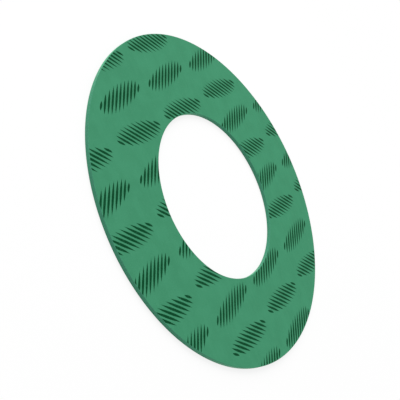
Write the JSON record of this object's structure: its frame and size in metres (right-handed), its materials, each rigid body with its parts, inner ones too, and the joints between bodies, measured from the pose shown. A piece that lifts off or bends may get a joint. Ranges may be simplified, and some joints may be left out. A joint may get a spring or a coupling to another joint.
{
  "type": "flat ring gasket",
  "caption": "Flat ring gasket cut in one piece from thin green PTFE sheet, which seals the joint between two raised-face pipe flanges inside their bolts.",
  "frame": {"origin": "centre of the lower face, on the axis of the bore", "axes": "+Z along the bore axis, out of the printed upper face; the ring is round, so X and Y are free"},
  "size_m": [0.0665, 0.0664, 0.0008],
  "materials": {
    "ptfe_sheet": "matte"
  },
  "bodies": {
    "root": {"gasket_ring": "ptfe_sheet"}
  },
  "joints": []
}
